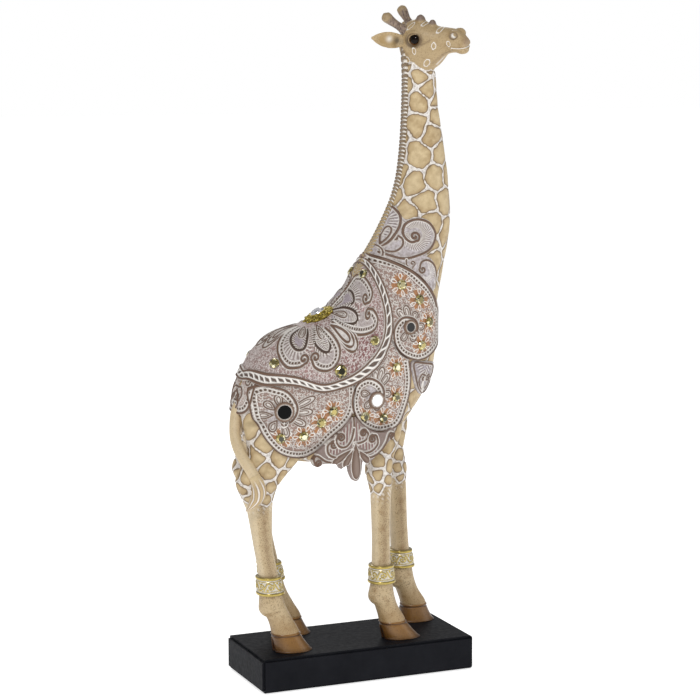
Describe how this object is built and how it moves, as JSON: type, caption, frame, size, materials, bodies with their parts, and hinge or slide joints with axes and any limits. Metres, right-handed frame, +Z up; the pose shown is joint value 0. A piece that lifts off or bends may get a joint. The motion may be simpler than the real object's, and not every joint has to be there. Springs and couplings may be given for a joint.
{
  "type": "decorative giraffe figure",
  "caption": "Standing giraffe figure with its head turned aside, in a relief saddle cloth with set stones and small mirrors, on a rectangular plinth.",
  "frame": {"origin": "middle of the bounding box at the level of the pads' undersides, where the figure stands", "axes": "+X the way the body faces, +Y the animal's left side, +Z up"},
  "size_m": [0.1891, 0.0793, 0.5117],
  "materials": {
    "plinth_paint": "charcoal black satin paint over cast resin",
    "felt": "black self-adhesive felt discs",
    "steel": "plain steel rod cast into the resin",
    "body_resin": "painted cast resin, raised tan patches with thin brown outlines and white washed grooves",
    "mane_resin": "painted cast resin, slanting notches washed with brown and white",
    "horn_resin": "grey brown painted resin with paler wear on the knobs",
    "eye_gloss": "clear gloss over dark amber paint",
    "hoof_gloss": "glossy caramel and dark brown lacquer",
    "gold_paint": "metallic gold paint on raised scrolls over a white ground",
    "cloth_resin": "painted relief: brown and cream scrolls on white, lavender, orange and rose grounds",
    "border_resin": "brown ridges with a cream twisted braid between them",
    "brooch_gold": "polished yellow gold filigree",
    "crystal": "clear faceted crystal with a foiled back",
    "panel_resin": "painted relief: brown scroll lines and beads on pale pink, white and orange grounds",
    "tassel_resin": "brown painted relief with cream edges",
    "bezel_resin": "raised brown painted rings",
    "mirror_glass": "round flat mirrors",
    "gem_glass": "champagne gold foiled faceted rhinestones"
  },
  "bodies": {
    "root": {"plinth": "plinth_paint", "foot_pads": "felt", "hoof_pins": "steel", "leg_rods": "steel", "neck_rod": "steel", "torso": "body_resin", "neck": "body_resin", "head": "body_resin", "mane": "mane_resin", "tail": "body_resin", "tail_tuft": "mane_resin", "ossicone_right": "horn_resin", "ossicone_left": "horn_resin", "ear_right": "body_resin", "ear_left": "body_resin", "eye_right": "eye_gloss", "eye_left": "eye_gloss", "foreleg_right": "body_resin", "foreleg_left": "body_resin", "hindleg_right": "body_resin", "hindleg_left": "body_resin", "hoof_fore_right": "hoof_gloss", "hoof_fore_left": "hoof_gloss", "hoof_hind_right": "hoof_gloss", "hoof_hind_left": "hoof_gloss", "anklet_fore_right": "gold_paint", "anklet_fore_left": "gold_paint", "anklet_hind_right": "gold_paint", "anklet_hind_left": "gold_paint", "saddle_cloth": "cloth_resin", "saddle_border": "border_resin", "brooch_setting": "brooch_gold", "brooch_crystal": "crystal", "rump_flap_right": "panel_resin", "rump_flap_left": "panel_resin", "haunch_panel_right": "panel_resin", "haunch_panel_left": "panel_resin", "flank_panel_right": "panel_resin", "flank_panel_left": "panel_resin", "chest_panel_right": "panel_resin", "chest_panel_left": "panel_resin", "neck_scroll_right": "panel_resin", "neck_scroll_left": "panel_resin", "belly_tassel_right": "tassel_resin", "belly_tassel_left": "tassel_resin", "chest_tassel_right": "tassel_resin", "chest_tassel_left": "tassel_resin", "mirror_bezels_right": "bezel_resin", "mirror_bezels_left": "bezel_resin", "mirrors_right": "mirror_glass", "mirrors_left": "mirror_glass", "gems_right": "gem_glass", "gems_left": "gem_glass"}
  },
  "joints": []
}
